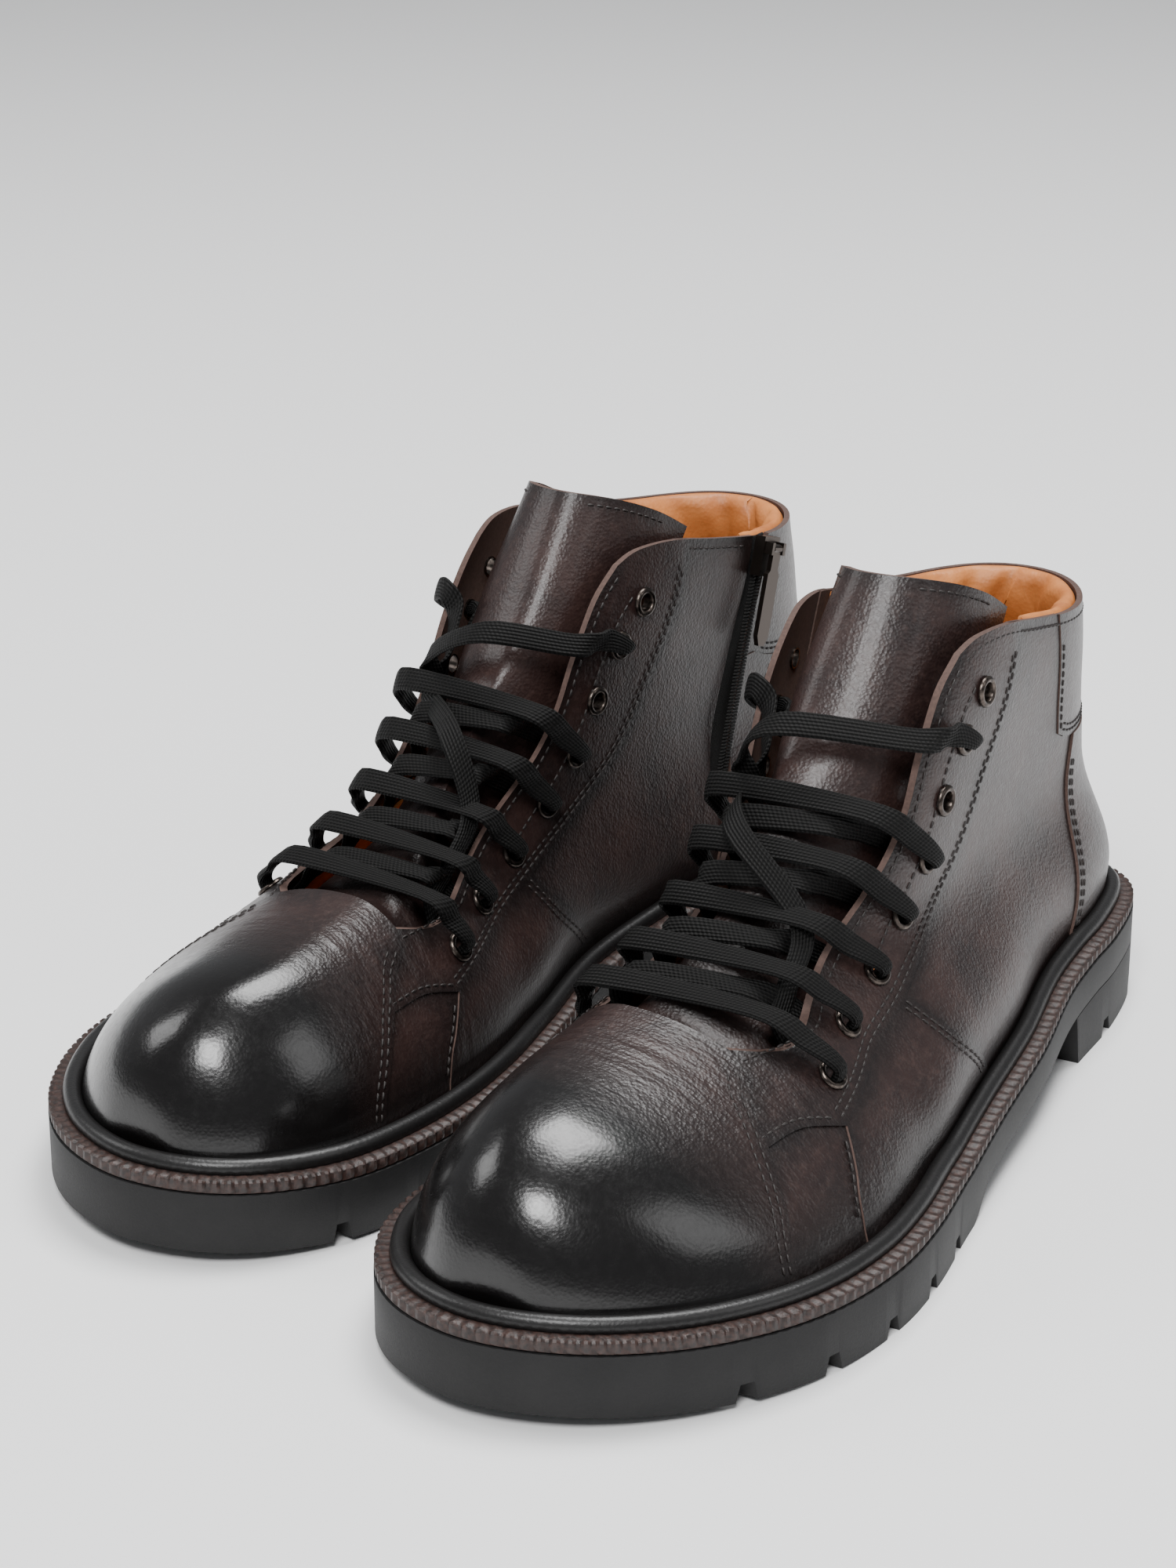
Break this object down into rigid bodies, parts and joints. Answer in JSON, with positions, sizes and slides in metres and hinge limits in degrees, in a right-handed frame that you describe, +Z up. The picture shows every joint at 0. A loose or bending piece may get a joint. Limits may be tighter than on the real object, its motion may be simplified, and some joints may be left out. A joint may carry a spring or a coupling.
{
  "type": "lace-up ankle boots",
  "caption": "Pair of burnished leather ankle boots with a lace-up front, an inside zip, a folding tongue, a padded collar and a welted rubber lug sole.",
  "frame": {"origin": "middle of the pair's footprint, on the floor", "axes": "+Z up, -Y from the heels to the toes, +X towards the left boot"},
  "size_m": [0.2348, 0.3278, 0.1425],
  "materials": {
    "upper_leather": "burnished gloss, nearly black at the toe",
    "lining_leather": "soft matte",
    "welt_leather": "dark waxed edge",
    "sole_rubber": "matte moulded rubber",
    "cork": "pressed cork",
    "steel": "plain",
    "board": "pressed leather board",
    "stiffener": "plain",
    "gunmetal": "dark plated metal",
    "zip_coil": "woven tape with a plastic coil",
    "cord": "flat ribbed weave"
  },
  "bodies": {
    "left_boot": {"left_outsole": "sole_rubber", "left_heel_block": "sole_rubber", "left_welt": "welt_leather", "left_cork_filler": "cork", "left_steel_shank": "steel", "left_insole_board": "board", "left_footbed": "lining_leather", "left_vamp": "upper_leather", "left_lateral_wing": "upper_leather", "left_lateral_eyestay": "upper_leather", "left_lateral_front_quarter": "upper_leather", "left_lateral_quarter": "upper_leather", "left_medial_wing": "upper_leather", "left_medial_eyestay": "upper_leather", "left_medial_front_quarter": "upper_leather", "left_medial_quarter": "upper_leather", "left_heel_cover": "upper_leather", "left_rear_collar": "upper_leather", "left_toe_puff": "stiffener", "left_heel_counter": "stiffener", "left_padded_collar": "lining_leather", "left_lining": "lining_leather", "left_tongue_lower": "upper_leather", "left_lateral_eyelets": "gunmetal", "left_medial_eyelets": "gunmetal", "left_zip_chain": "zip_coil", "left_lace": "cord"},
    "left_tongue_top": {"left_tongue_upper": "upper_leather"},
    "left_zip_slider_body": {"left_zip_slider": "gunmetal"},
    "left_zip_pull_body": {"left_zip_pull": "gunmetal"},
    "right_boot": {"right_outsole": "sole_rubber", "right_heel_block": "sole_rubber", "right_welt": "welt_leather", "right_cork_filler": "cork", "right_steel_shank": "steel", "right_insole_board": "board", "right_footbed": "lining_leather", "right_vamp": "upper_leather", "right_lateral_wing": "upper_leather", "right_lateral_eyestay": "upper_leather", "right_lateral_front_quarter": "upper_leather", "right_lateral_quarter": "upper_leather", "right_medial_wing": "upper_leather", "right_medial_eyestay": "upper_leather", "right_medial_front_quarter": "upper_leather", "right_medial_quarter": "upper_leather", "right_heel_cover": "upper_leather", "right_rear_collar": "upper_leather", "right_toe_puff": "stiffener", "right_heel_counter": "stiffener", "right_padded_collar": "lining_leather", "right_lining": "lining_leather", "right_tongue_lower": "upper_leather", "right_lateral_eyelets": "gunmetal", "right_medial_eyelets": "gunmetal", "right_zip_chain": "zip_coil", "right_lace": "cord"},
    "right_tongue_top": {"right_tongue_upper": "upper_leather"},
    "right_zip_slider_body": {"right_zip_slider": "gunmetal"},
    "right_zip_pull_body": {"right_zip_pull": "gunmetal"}
  },
  "joints": [
    {"name": "right_boot_lift", "type": "slide", "parent": "left_boot", "child": "right_boot", "axis": [0, 0, 1], "range_m": [0, 0.3]},
    {"name": "left_zip_run", "type": "slide", "parent": "left_boot", "child": "left_zip_slider_body", "axis": [0, -0.2707, -0.9627], "range_m": [0, 0.06]},
    {"name": "left_zip_pull_swing", "type": "hinge", "parent": "left_zip_slider_body", "child": "left_zip_pull_body", "pos_m": [0.02733, 0.07954, 0.11732], "axis": [0, 0.9627, -0.2707], "range_deg": [0, 150]},
    {"name": "left_tongue_fold", "type": "hinge", "parent": "left_boot", "child": "left_tongue_top", "pos_m": [0.06055, 0.03608, 0.091], "axis": [-1, 0, 0], "range_deg": [0, 8]},
    {"name": "right_zip_run", "type": "slide", "parent": "right_boot", "child": "right_zip_slider_body", "axis": [-0.0377, -0.268, -0.9627], "range_m": [0, 0.06]},
    {"name": "right_zip_pull_swing", "type": "hinge", "parent": "right_zip_slider_body", "child": "right_zip_pull_body", "pos_m": [-0.0057, 0.09927, 0.11732], "axis": [-0.134, -0.9533, 0.2707], "range_deg": [0, 150]},
    {"name": "right_tongue_fold", "type": "hinge", "parent": "right_boot", "child": "right_tongue_top", "pos_m": [-0.04407, 0.06081, 0.091], "axis": [-0.9903, 0.1392, 0], "range_deg": [0, 8]}
  ]
}
